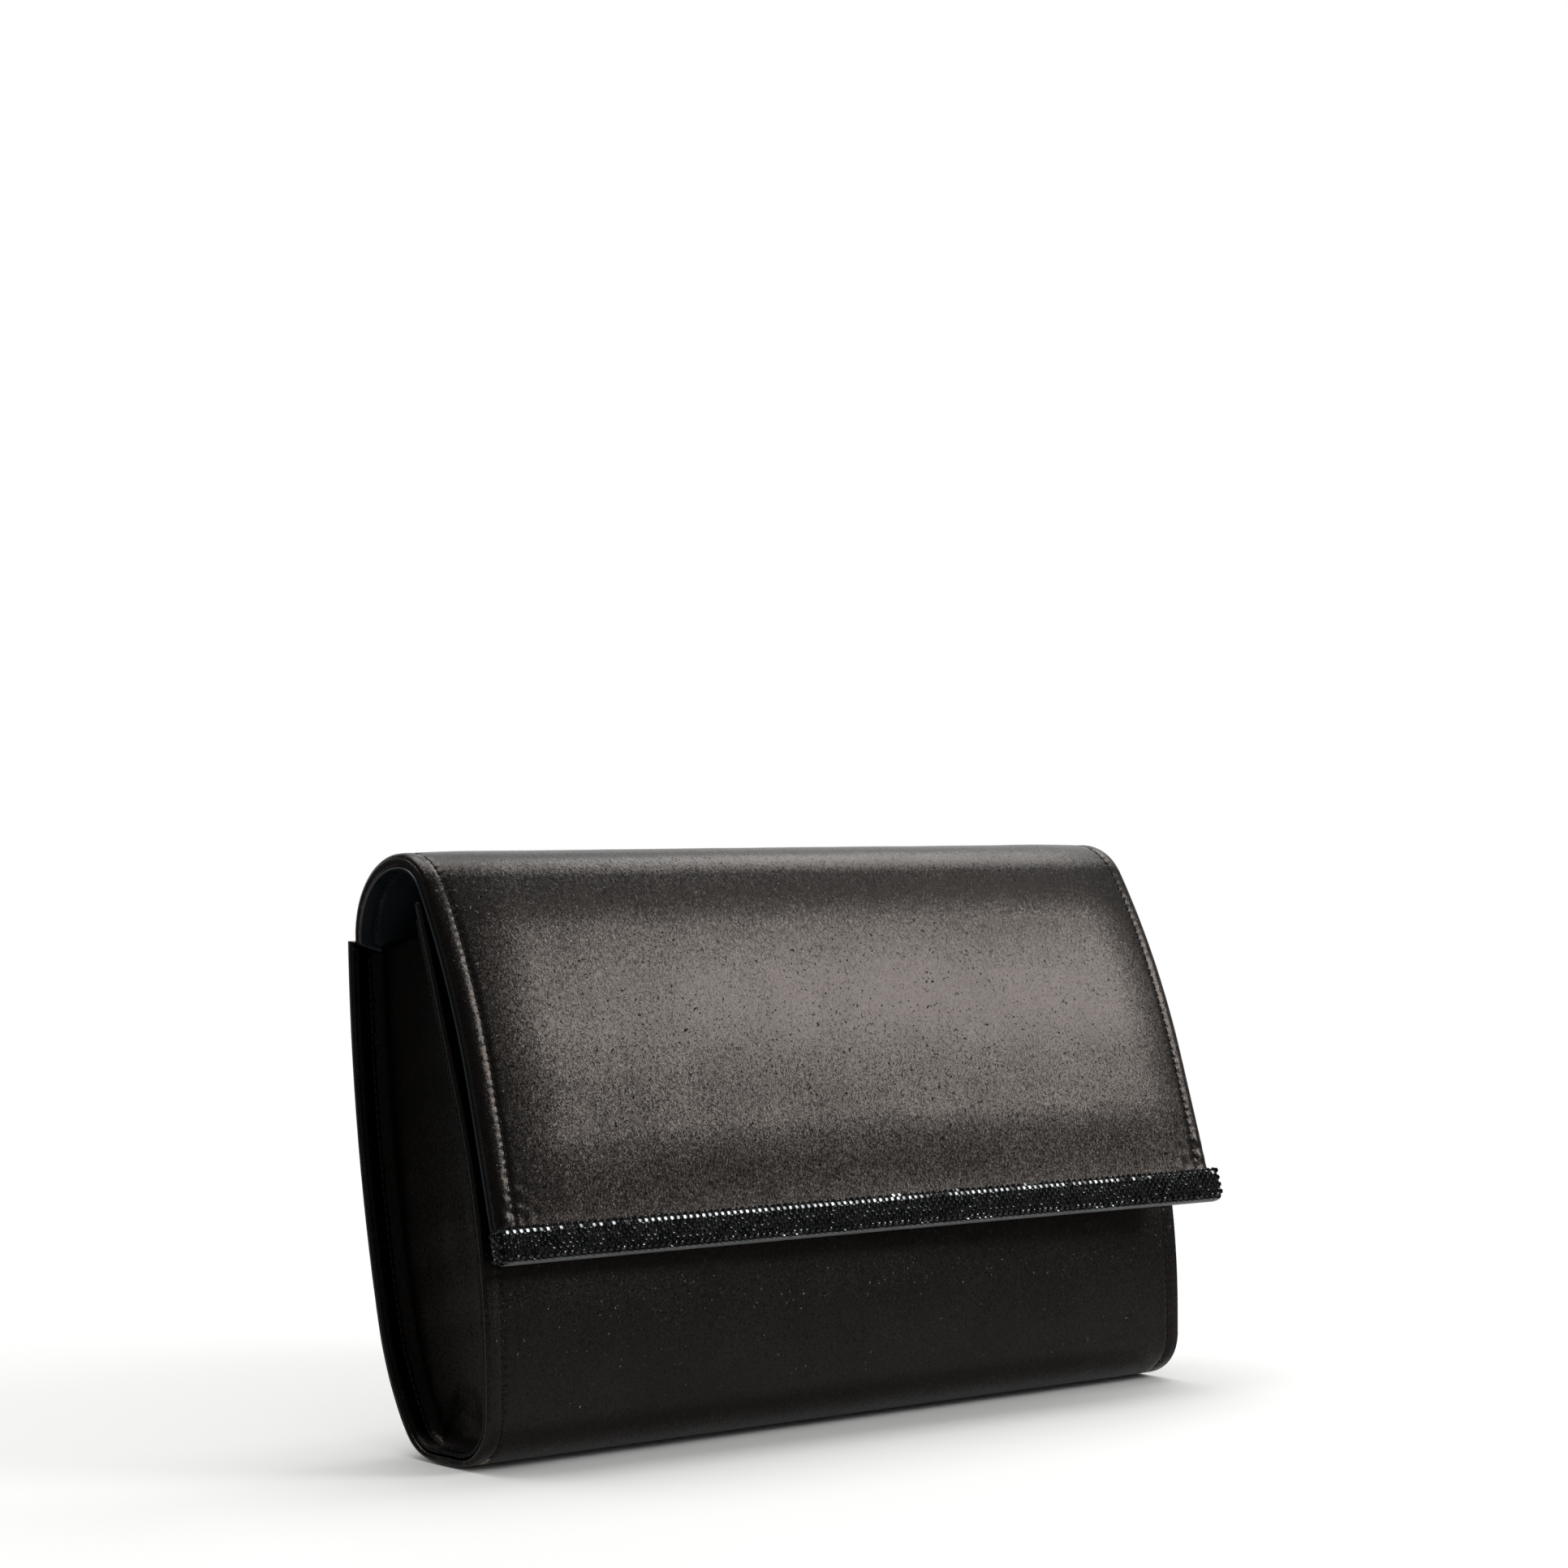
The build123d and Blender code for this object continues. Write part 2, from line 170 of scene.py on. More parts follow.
def wrap_course():
    """The outer face of the wrap."""
    lean = radians(front_lean)
    mouth_y = shell_low.y + belly_radius * (1 - cos(lean)) + lean_length * sin(lean)
    mouth = (mouth_y, body_height)
    stretches = [
        (lean_length, 0), bend(belly_radius, front_lean), (belly_height - toe_radius, 0),
        bend(toe_radius, 90), (base_flat, 0), bend(heel_radius, heel_turn), bend(calf_radius, calf_turn),
    ]
    begun = Course(mouth, 270 - front_lean, stretches)
    heading = begun.end_heading - 360
    rise = body_height - back_drop - begun.end[1]
    back_radius = rise / (cos(radians(heading)) - cos(radians(back_top_heading)))
    stretches.append(bend(back_radius, back_top_heading - heading))
    return Course(mouth, 270 - front_lean, stretches)


wrap = wrap_course()
hinges = {joint["name"]: joint["pos_m"] for joint in frame["joints"]}
seam = np.array(hinges["flap_seam_hinge"][1:])
crown_chord = np.linalg.norm(np.array(hinges["flap_crown_hinge"][1:]) - seam)
rear_radius = crown_chord / (2 * sin(radians(crown_turn / 2)))


def flap_course():
    """The outer face of the flap."""
    snap_at = lean_length + belly_radius * radians(front_lean - flap_lean)
    (_, snap_z), _ = wrap.at(snap_at)
    straight_top = snap_z + straight_above_snap
    drop = hinges["flap_shoulder_hinge"][2] - straight_top
    slow_radius = drop / (sin(radians(shoulder_lean)) - sin(radians(flap_lean)))
    return Course(seam, back_top_heading, [
        bend(rear_radius, 180 - back_top_heading),
        bend(shoulder_radius, 90 - shoulder_lean),
        bend(slow_radius, shoulder_lean - flap_lean),
        ((straight_top - flap_edge_height) / cos(radians(flap_lean)), 0),
    ])


flap = flap_course()
crown_at = rear_radius * radians(crown_turn)
shoulder_at = rear_radius * radians(180 - back_top_heading) + shoulder_radius * radians(90 - shoulder_lean)


# ---- shaping helpers

def smooth(value, low=0.0, high=1.0):
    """A soft step from 0 at low to 1 at high."""
    t = np.clip((value - low) / (high - low), 0, 1)
    return t * t * (3 - 2 * t)


def hump(value, centre, width):
    return np.exp(-((value - centre) / width) ** 2)


def ripple(x, y, size, seed):
    """Smooth unevenness of about that size, mostly between -1 and 1, the same each time."""
    random = np.random.default_rng(seed)
    waves = 7
    total = 0
    for _ in range(waves):
        angle, phase = random.uniform(0, WHOLE_TURN, 2)
        scale = WHOLE_TURN / size * random.uniform(0.6, 1.5)
        total = total + np.sin(scale * (x * cos(angle) + y * sin(angle)) + phase)
    return total / (waves / 2)


def rounding(distance, radius):
    """How far a rounded edge has dropped, at some distance in from the side."""
    inside = np.clip(radius - distance, 0, radius)
    return radius - np.sqrt(radius * radius - inside * inside)


def rim_rounding(to_side, to_end, radius):
    return np.maximum(rounding(to_side, radius), rounding(to_end, radius))


def curl(radius, count=5):
    """Distances in from an edge, over its rounding, evenly spaced round the arc."""
    return radius * (1 - np.cos(np.linspace(0, pi / 2, count)))


def edge_samples(half, step, edge_step, zone, radius):
    """Places across a sheet: fine near both side edges, finest on their rounding."""
    near = np.arange(radius + edge_step, zone, edge_step)
    side = np.concatenate([curl(radius), near])
    middle = np.linspace(-half + zone, half - zone, int(2 * (half - zone) / step) + 1)
    return np.concatenate([-half + side, middle, (half - side)[::-1]])


def spaced(low, high, step):
    return np.linspace(low, high, max(2, int(round((high - low) / step)) + 1))


# ---- meshes

def new_object(name, points, faces, material, weave=None, smooth_shaded=True):
    mesh = bpy.data.meshes.new(name)
    mesh.from_pydata(np.asarray(points, float).tolist(), [], [list(map(int, face)) for face in faces])
    mesh.update()
    mesh.polygons.foreach_set("use_smooth", [smooth_shaded] * len(mesh.polygons))
    if weave is not None:
        layer = mesh.uv_layers.new(name="weave")
        corner = np.zeros(len(mesh.loops), np.int32)
        mesh.loops.foreach_get("vertex_index", corner)
        layer.data.foreach_set("uv", np.asarray(weave, np.float32)[corner].ravel())
    mesh.materials.append(material)
    made = bpy.data.objects.new(name, mesh)
    bpy.context.scene.collection.objects.link(made)
    return made


def grid_faces(index, flipped=False):
    """Quads over a grid of point numbers."""
    corners = [index[:-1, :-1], index[:-1, 1:], index[1:, 1:], index[1:, :-1]]
    if flipped:
        corners.reverse()
    return np.stack([corner.ravel() for corner in corners], axis=1)


def slab_faces(rows, columns, edges, flipped=False):
    """Quads over two grids of points, one behind the other, joined along some of their edges."""
    front, back = np.arange(2 * rows * columns).reshape(2, rows, columns)
    lines = {
        "top": (front[0], back[0], True),
        "bottom": (front[-1], back[-1], False),
        "left": (front[:, 0], back[:, 0], False),
        "right": (front[:, -1], back[:, -1], True),
    }
    faces = [grid_faces(front, flipped), grid_faces(back, not flipped)]
    for edge in edges:
        front_line, back_line, reverse = lines[edge]
        faces.append(grid_faces(np.stack([front_line, back_line]), reverse != flipped))
    return np.concatenate(faces)


def tube_faces(rings, count, flipped=False):
    """Quads round a tube of rings of points, and a cap on each end."""
    index = np.arange(rings * count).reshape(rings, count)
    around = np.concatenate([index, index[:, :1]], axis=1)
    caps = [index[0, ::-1], index[-1]]
    if flipped:
        caps = [cap[::-1] for cap in caps]
    return grid_faces(around, flipped).tolist() + [cap.tolist() for cap in caps]


def vertex_normals(points, faces):
    a, b, c, d = (points[faces[:, k]] for k in range(4))
    across = np.cross(c - a, d - b)
    total = np.zeros_like(points)
    for k in range(4):
        np.add.at(total, faces[:, k], across)
    return total / np.maximum(np.linalg.norm(total, axis=1, keepdims=True), 1e-12)


def lift(course, x, s, depth, shift=None):
    """Points at some places across, distances along a course and depths below it."""
    flat, _ = course.at(s, depth)
    placed = np.concatenate([x[..., None], flat], axis=-1)
    if shift is not None:
        placed[..., 1] += shift(x, s)
    return placed


class Sheet:
    """A thick sheet over a course: an outer and an inner face, joined down both sides."""

    def __init__(self, course, across, along, outer, inner, side_steps, shift=None, ends=(True, True)):
        self.course, self.along, self.shift = course, along, shift
        self.points = np.zeros((0, 3))
        self.weave = np.zeros((0, 2))
        self.row_of = np.zeros(0, int)
        x, s = np.meshgrid(across, along)
        self.row_numbers = np.arange(len(along))
        top, bottom = outer(x, s), inner(x, s)
        top_index = self.lay(x, s, top, self.row_numbers[:, None])
        bottom_index = self.lay(x, s, bottom, self.row_numbers[:, None])
        faces = [grid_faces(top_index), grid_faces(bottom_index, True)]
        for column, flipped in ((0, True), (-1, False)):
            lines = [top_index[:, column]]
            lines += self.side_lines(*(grid[:, column] for grid in (x, s, top, bottom)), side_steps)
            lines.append(bottom_index[:, column])
            faces.append(grid_faces(np.stack(lines), flipped))
        for closed, row, flipped in ((ends[0], 0, True), (ends[1], -1, False)):
            if closed:
                faces.append(grid_faces(np.stack([top_index[row], bottom_index[row]]), flipped))
        self.faces = np.concatenate(faces)
        self.normals = vertex_normals(self.points, self.faces)

    def lay(self, x, s, depth, rows, out=0):
        """Adds points, with their places in the weave and their rows, and returns their numbers."""
        first = len(self.points)
        placed = lift(self.course, x, s, depth, self.shift)
        cloth = np.stack([x + out, s], axis=-1)
        self.points = np.concatenate([self.points, placed.reshape(-1, 3)])
        self.weave = np.concatenate([self.weave, cloth.reshape(-1, 2)])
        self.row_of = np.concatenate([self.row_of, np.broadcast_to(rows, x.shape).ravel()])
        return first + np.arange(x.size).reshape(x.shape)

    def side_lines(self, x, s, top, bottom, steps):
        """Lines of points down one side, between the outer face's edge and the inner's."""
        lines = []
        for step in range(1, steps):
            share = step / steps
            depth = top * (1 - share) + bottom * share
            out = np.sign(x[0]) * (depth - top)
            lines.append(self.lay(x, s, depth, self.row_numbers, out))
        return lines

    def make(self, name, material, low=None, high=None):
        """The object, or only its part between two distances along the course."""
        first = 0 if low is None else int(np.argmin(abs(self.along - low)))
        last = self.row_numbers[-1] if high is None else int(np.argmin(abs(self.along - high)))
        rows = self.row_of[self.faces]
        kept = self.faces[(rows.min(axis=1) >= first) & (rows.max(axis=1) <= last)]
        used, faces = np.unique(kept, return_inverse=True)
        made = new_object(name, self.points[used], faces.reshape(-1, 4), material, self.weave[used])
        made.data.normals_split_custom_set_from_vertices(self.normals[used].tolist())
        return made


def capsule(start, end, radius, around=6):
    """A short rounded thread between two points: its points and faces."""
    start, end = np.array(start), np.array(end)
    axis = end - start
    length = np.linalg.norm(axis)
    axis = axis / length
    side = np.cross(axis, [0.3, 0.5, 0.8])
    side /= np.linalg.norm(side)
    up = np.cross(axis, side)
    # Each ring's share of the length, its place beyond that in radii, and its size
    rings = (
        (0, -0.9, 0.35), (0, -0.45, 0.85), (0, 0, 1), (0.5, 0, 1), (1, 0, 1), (1, 0.45, 0.85), (1, 0.9, 0.35),
    )
    points = []
    for share, beyond, size in rings:
        centre = start + axis * (length * share + radius * beyond)
        for k in range(around):
            angle = WHOLE_TURN * k / around
            points.append(centre + (side * cos(angle) + up * sin(angle)) * radius * size)
    return points, tube_faces(len(rings), around)


def joined(solids):
    """One list of points and one of faces, from several."""
    points, faces = [], []
    for some, around in solids:
        faces += [tuple(len(points) + k for k in face) for face in around]
        points += some
    return points, faces


def thread_line(name, places):
    """Stitches, one between each pair of points."""
    points, faces = joined(capsule(start, end, thread_radius) for start, end in places)
    return new_object(name, points, faces, sewing_thread)


def stitches(course, x, begin, end, face, beyond, shift=None):
    """Pairs of points along a sheet's face at one place across: each stitch between its two holes."""
    count = int(round((end - begin) / stitch_pitch))
    middles = begin + (np.arange(count) + 0.5) * (end - begin) / count
    across = np.full(2, x)
    pairs = []
    for middle in middles:
        s = np.array([middle - stitch_length / 2, middle + stitch_length / 2])
        pairs.append(lift(course, across, s, face(across, s) + beyond, shift))
    return pairs


def next_hole(s):
    return np.ceil(s / stitch_pitch) * stitch_pitch


# ---- materials

def shade(colour, share=1.0):
    return tuple(share * part for part in colour) + (1,)


class Nodes:
    """A short way to write a node tree."""

    def __init__(self, tree):
        self.tree = tree

    def add(self, kind, **settings):
        node = self.tree.nodes.new(kind)
        for key, value in settings.items():
            setattr(node, key, value)
        return node

    def feed(self, socket, value):
        """Links an output to a socket, or sets a constant on it."""
        if isinstance(value, bpy.types.NodeSocket):
            self.tree.links.new(value, socket)
        else:
            socket.default_value = value

    def fill(self, sockets, values):
        for socket, value in zip(sockets, values):
            self.feed(socket, value)

    def put(self, node, **values):
        for key, value in values.items():
            self.feed(node.inputs[key.replace("_", " ")], value)

    def weave(self, across, along):
        """The sheet's own coordinates, counted in threads of some width and length, in metres."""
        source = self.add("ShaderNodeUVMap", uv_map="weave").outputs["UV"]
        return self.scaled(source, 1 / across, 1 / along, 1)

    def place(self, size):
        source = self.add("ShaderNodeTexCoord").outputs["Object"]
        return self.scaled(source, 1 / size, 1 / size, 1 / size)

    def scaled(self, source, x, y, z):
        mapping = self.add("ShaderNodeMapping", vector_type="POINT")
        self.put(mapping, Vector=source, Scale=(x, y, z))
        return mapping.outputs["Vector"]

    def noise(self, vector, detail=2.0, roughness=0.5):
        node = self.add("ShaderNodeTexNoise")
        self.put(node, Vector=vector, Scale=1.0, Detail=detail, Roughness=roughness)
        return node.outputs["Fac"]

    def cells(self, vector, output="Color"):
        node = self.add("ShaderNodeTexVoronoi")
        self.put(node, Vector=vector, Scale=1.0)
        return node.outputs[output]

    def ramp(self, value, low, high, to_low=0.0, to_high=1.0):
        node = self.add("ShaderNodeMapRange", interpolation_type="SMOOTHSTEP")
        self.put(node, Value=value, From_Min=low, From_Max=high, To_Min=to_low, To_Max=to_high)
        return node.outputs["Result"]

    def clouds(self, size, detail=2.0, low=0.0, high=1.0):
        """Soft patches of about that size, between two numbers."""
        return self.ramp(self.noise(self.place(size), detail), 0.3, 0.7, low, high)

    def math(self, operation, *values):
        node = self.add("ShaderNodeMath", operation=operation)
        self.fill(node.inputs, values)
        return node.outputs[0]

    def vector(self, operation, *values):
        node = self.add("ShaderNodeVectorMath", operation=operation)
        self.fill(node.inputs, values)
        return node.outputs["Value" if operation in ("DOT_PRODUCT", "LENGTH") else "Vector"]

    def mix(self, share, first, second):
        node = self.add("ShaderNodeMix", data_type="RGBA")
        self.fill((node.inputs[0], node.inputs[6], node.inputs[7]), (share, first, second))
        return node.outputs[2]

    def shades(self, share, colour, low, high=1.0):
        """A colour that goes from one shade of itself to another."""
        return self.mix(share, shade(colour, low), shade(colour, high))

    def bump(self, height, strength, distance, **more):
        node = self.add("ShaderNodeBump")
        self.put(node, Height=height, Strength=strength, Distance=distance, **more)
        return node.outputs["Normal"]

    def tilted(self, colours, amount):
        """The surface's normal, tilted by random colours, as tiny flakes are."""
        offset = self.vector("SUBTRACT", colours, (0.5, 0.5, 0.5))
        scaled = self.add("ShaderNodeVectorMath", operation="SCALE")
        self.feed(scaled.inputs[0], offset)
        self.feed(scaled.inputs["Scale"], amount)
        normal = self.add("ShaderNodeNewGeometry").outputs["Normal"]
        return self.vector("NORMALIZE", self.vector("ADD", normal, scaled.outputs[0]))


class Material(Nodes):
    """A material's nodes, with its shader."""

    def __init__(self, name):
        self.material = bpy.data.materials.new(name)
        self.material.use_nodes = True
        super().__init__(self.material.node_tree)
        self.tree.nodes.clear()
        self.output = self.add("ShaderNodeOutputMaterial")
        self.shader = self.add("ShaderNodeBsdfPrincipled")
        self.feed(self.output.inputs["Surface"], self.shader.outputs[0])

    def finish(self, **values):
        self.put(self.shader, **values)
        return self.material


def satin(name, colour, flakes):
    """Dark satin woven with metal thread: short bright warp floats, and specks of glitter."""
    m = Material(name)
    floats = m.cells(m.weave(across=0.28 * MM, along=0.75 * MM))
    grain = m.cells(m.weave(across=0.33 * MM, along=0.35 * MM))
    glitter = m.ramp(m.noise(m.place(0.9 * MM), detail=0.0), 0.72, 0.78)
    amount = m.math("ADD", m.math("MULTIPLY", glitter, 0.8), flakes)
    normal = m.tilted(m.mix(0.6, floats, grain), amount)
    cloudy = m.shades(m.clouds(22 * MM, detail=3.0), colour, 0.92, 1.08)
    tone = m.mix(m.ramp(grain, 0.15, 0.6), shade(colour, 0.72), cloudy)
    rough = m.ramp(grain, 0.0, 1.0, 0.27, 0.38)
    threads = m.noise(m.weave(across=0.3 * MM, along=0.6 * MM), detail=1.0)
    relief = m.bump(threads, strength=0.2, distance=0.03 * MM, Normal=normal)
    return m.finish(Base_Color=tone, Metallic=1.0, Roughness=rough, Normal=relief)


def leather(name, colour, rough):
    m = Material(name)
    pores = m.cells(m.place(0.6 * MM), "Distance")
    swell = m.math("MULTIPLY", m.noise(m.place(3 * MM)), 0.3)
    relief = m.bump(m.math("ADD", pores, swell), strength=0.2, distance=0.06 * MM)
    tone = m.shades(m.clouds(14 * MM, detail=3.0), colour, 0.9, 1.1)
    gloss = m.clouds(5 * MM, low=rough - 0.01, high=rough + 0.03)
    return m.finish(Base_Color=tone, Roughness=gloss, Normal=relief, Specular_IOR_Level=0.5)


def cloth(name, colour, thread=0.35 * MM, rough=0.6):
    """A plain weave, with painted shade in the hollows between its threads."""
    m = Material(name)
    split = m.add("ShaderNodeSeparateXYZ")
    m.feed(split.inputs[0], m.weave(thread, thread))
    waves = [m.math("ABSOLUTE", m.math("SINE", m.math("MULTIPLY", split.outputs[k], pi))) for k in (0, 1)]
    height = m.math("MULTIPLY", *waves)
    relief = m.bump(height, strength=0.6, distance=0.12 * MM)
    cloudy = m.shades(m.clouds(9 * MM, detail=3.0), colour, 0.75, 1.2)
    # Darker in the hollows between the threads: painted shade.
    tone = m.mix(m.ramp(height, 0.0, 0.6), shade(colour, 0.4), cloudy)
    return m.finish(Base_Color=tone, Roughness=rough, Normal=relief, Sheen_Weight=0.15, Sheen_Roughness=0.4)


def fibrous(name, colour, size):
    m = Material(name)
    flecks = m.noise(m.place(size), detail=4.0, roughness=0.7)
    tone = m.shades(m.ramp(flecks, 0.35, 0.65), colour, 0.75, 1.15)
    relief = m.bump(flecks, strength=0.4, distance=0.1 * MM)
    return m.finish(Base_Color=tone, Roughness=0.9, Normal=relief)


def metal(name, colour, rough):
    m = Material(name)
    lines = m.noise(m.place(1.2 * MM), detail=3.0)
    tone = m.shades(m.clouds(4 * MM), colour, 0.8)
    gloss = m.ramp(lines, 0.3, 0.7, rough, rough + 0.15)
    relief = m.bump(lines, strength=0.1, distance=0.02 * MM)
    return m.finish(Base_Color=tone, Metallic=1.0, Roughness=gloss, Normal=relief)


def crystal(name, smoky, clear):
    """Dark foiled stones, each a little lighter or darker than the next."""
    m = Material(name)
    tint = m.cells(m.place(1.9 * MM))
    tone = m.mix(m.ramp(tint, 0.1, 0.9), shade(smoky), shade(clear))
    return m.finish(Base_Color=tone, Metallic=1.0, Roughness=0.06)


def thread_material(name, colour):
    m = Material(name)
    twist = m.noise(m.place(0.25 * MM), detail=1.0)
    tone = m.shades(m.ramp(twist, 0.3, 0.7), colour, 0.6)
    relief = m.bump(twist, strength=0.5, distance=0.05 * MM)
    return m.finish(Base_Color=tone, Roughness=0.7, Normal=relief, Specular_IOR_Level=0.15)


satin_cloth = satin("satin", (0.032, 0.0281, 0.0257), flakes=0.21)
# The flap's satin at about half its colour, with more tilt in its flakes: painted shade for the recessed end
# panels.
gusset_shade_satin = satin("painted_shade_gusset_satin", (0.016, 0.0136, 0.012), flakes=0.27)
arch_leather = leather("arch_leather", (0.008, 0.0105, 0.013), rough=0.29)
inner_cloth = cloth("lining_cloth", (0.018, 0.018, 0.021))
board_material = fibrous("board", (0.33, 0.27, 0.2), size=1.5 * MM)
tape_cloth = cloth("tape", (0.09, 0.09, 0.092), thread=0.3 * MM, rough=0.5)
mesh_metal = metal("crystal_mesh_base", (0.012, 0.0125, 0.0125), rough=0.35)
snap_metal = metal("snap_metal", (0.32, 0.31, 0.32), rough=0.18)
magnet_metal = metal("magnet_metal", (0.2, 0.2, 0.21), rough=0.35)
crystal_glass = crystal("crystal", smoky=(0.022, 0.024, 0.024), clear=(0.075, 0.078, 0.076))
# Nearly black, so that the stitches read as dark holes: partly the thread's own colour, partly painted shade.
sewing_thread = thread_material("sewing_thread", (0.006, 0.0055, 0.005))


# ---- the flap

crown_height = 2.7 * MM  # of the padding
crown_reach = 24 * MM  # from a side edge to where the padding is full
satin_skin = 0.35 * MM  # the satin, turned in over the flap's padding
lining_proud = 0.35 * MM  # how far the lining's edge shows past the satin's
half_lining = half_flap + lining_proud
tail_thickness = 1.5 * MM  # the seam allowance below the seam
tail_end = -13 * MM


def flap_shift(x, s):
    """How far back the flap stands from its straight place: negative is forwards."""
    share = x / half_flap
    growth = (skew_at_bar - skew_at_shoulder) / (flap.length - shoulder_at)
    skew = np.interp(s, (0, shoulder_at, flap.length), (0, skew_at_shoulder, skew_at_bar))
    skew = skew + np.clip(s - flap.length, 0, None) * growth
    forward = forward_at_sides * smooth(s, 0, flap.length) * share ** 2
    return -skew * share - forward


def side_sewing(distance, s, depth, pucker, drawn):
    """How a line of stitches draws the cloth in along a side: a groove, its holes and its gathers."""
    phase = np.cos(WHOLE_TURN * s / stitch_pitch)
    groove = depth * hump(distance, stitch_inset, 0.9 * MM)
    holes = drawn * hump(distance, stitch_inset, 0.4 * MM) * np.clip(phase, 0, 1) ** 3
    gathers = pucker * phase * hump(distance, stitch_inset, 2.1 * MM)
    wander = 1.2 * pucker * ripple(0.4 * distance, s, 5 * MM, 3)
    return groove + holes + gathers + wander * hump(distance, stitch_inset - MM, 3.4 * MM)


def flap_crown(distance, s, to_bar):
    """The padding's height: full in the middle, less towards the sides, the arch and the bar."""
    falling = 1 - np.clip(distance / crown_reach, 0, 1)
    crown = crown_height * (1 - falling ** 2)
    near_bar = 0.5 + 0.5 * smooth(to_bar, -3 * MM, 22 * MM)
    over_arch = 0.15 + 0.85 * smooth(s, 32 * MM, 68 * MM)
    return crown * near_bar * over_arch * smooth(s, -2 * MM, 20 * MM)


def flap_outer(x, s):
    distance = half_flap - abs(x)
    to_bar = flap.length - s
    bead = 0.12 * MM * hump(distance, bead_inset, MM)
    sewn = side_sewing(distance, s, depth=0.2 * MM, pucker=0.035 * MM, drawn=0.4 * MM)
    uneven = 0.05 * MM * ripple(x, s, 42 * MM, 11) + 0.012 * MM * ripple(x, s, 13 * MM, 12)
    uneven = uneven * smooth(distance, 4 * MM, 14 * MM) * smooth(s, 0, 20 * MM)
    crinkle = 0.16 * MM * ripple(x, s, 4.5 * MM, 14) * hump(to_bar, 3 * MM, 7 * MM)
    crinkle = crinkle * smooth(-distance, -16 * MM, -3 * MM)
    low = 0.1 * MM * smooth(distance, 1.2 * MM, 4.0 * MM) * smooth(s, 30 * MM, 60 * MM)
    edge = rounding(distance, 1.3 * MM)
    return edge + low - flap_crown(distance, s, to_bar) - bead + sewn + uneven + crinkle + 0.15 * MM


def flap_body_depth(s):
    """The flap's thickness, which tapers into its seam allowance below the seam."""
    return tail_thickness + (flap_thickness - tail_thickness) * smooth(s, -9 * MM, MM)


def flap_inside(x, s):
    return flap_body_depth(s) - satin_skin - rounding(half_flap - abs(x), 0.5 * MM)


def lining_outer(x, s):
    return flap_body_depth(s) - 0.55 * MM + rounding(half_lining - abs(x), lining_proud)


def lining_inner(x, s):
    distance = half_lining - abs(x)
    sewn = side_sewing(distance, s, depth=-0.3 * MM, pucker=0.05 * MM, drawn=-0.12 * MM)
    sag = 0.12 * MM * ripple(x, s, 30 * MM, 21) * smooth(distance, 5 * MM, 14 * MM)
    padding = 0.35 * MM * smooth(distance, 5 * MM, 15 * MM)
    return flap_body_depth(s) + 0.1 * MM - rounding(distance, lining_proud) + sewn + sag + padding


# Each of the flap's three lengths: its ends along the course, the bodies on either side of it,
# and two places along it for a bend from one to the other, which is not made.
rear_middle = crown_at / 2
front_middle = (crown_at + shoulder_at) / 2
bend_clear = 2.4 * MM
front_bend_end = 2 * shoulder_at - front_middle + 6 * MM
flap_cuts = (
    ("rear", tail_end, rear_middle, "bag", "arch_rear", -MM, rear_middle - bend_clear),
    ("crown", rear_middle, front_middle, "arch_rear", "arch_front",
     rear_middle + bend_clear, front_middle - bend_clear),
    ("front", front_middle, flap.length, "arch_front", "flap", front_middle + bend_clear, front_bend_end),
)
flap_stands_for = {
    "rear": (["arch_rear_cover", "arch_rear_foam"], ["arch_rear_lining", "flap_tail"]),
    "crown": (["arch_front_cover", "arch_front_foam"], ["arch_front_lining"]),
    "front": (["flap_cover", "flap_foam", "flap_board"], ["flap_lining"]),
}
flap_step = 0.55 * MM
flap_along = np.concatenate([
    spaced(tail_end, rear_middle, flap_step)[:-1],
    spaced(rear_middle, front_middle, flap_step)[:-1],
    spaced(front_middle, flap.length + MM, flap_step),
])


def bend_over(piece, body_a, body_b, begin, end):
    """Bakes a piece's placement into its points. The piece is not bent: the two places along the flap are
    found but not used.
    """
    middle = flap_thickness / 2
    (start_y, start_z), _ = flap.at(begin, middle)
    (end_y, end_z), _ = flap.at(end, middle)
    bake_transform(piece)


def tuck_tail(sheet):
    """Draws the sewn-in end of a sheet in, to lie between the gussets' flanges."""
    s = sheet.along[sheet.row_of]
    sheet.points[:, 0] *= 1 - 0.07 * smooth(-s, 0.5 * MM, 4 * MM)


def flap_stitches(low, high):
    """The stitches down both sides, on both faces, between two distances along the flap."""
    begin = next_hole(max(low, MM))
    end = np.floor(min(high, flap.length - 1.2 * MM) / stitch_pitch) * stitch_pitch
    pairs = []
    for side in (-1, 1):
        x = side * (half_flap - stitch_inset)
        pairs += stitches(flap, x, begin, end, flap_outer, -0.03 * MM, flap_shift)
        pairs += stitches(flap, x, begin, end, lining_inner, 0.03 * MM, flap_shift)
    return pairs


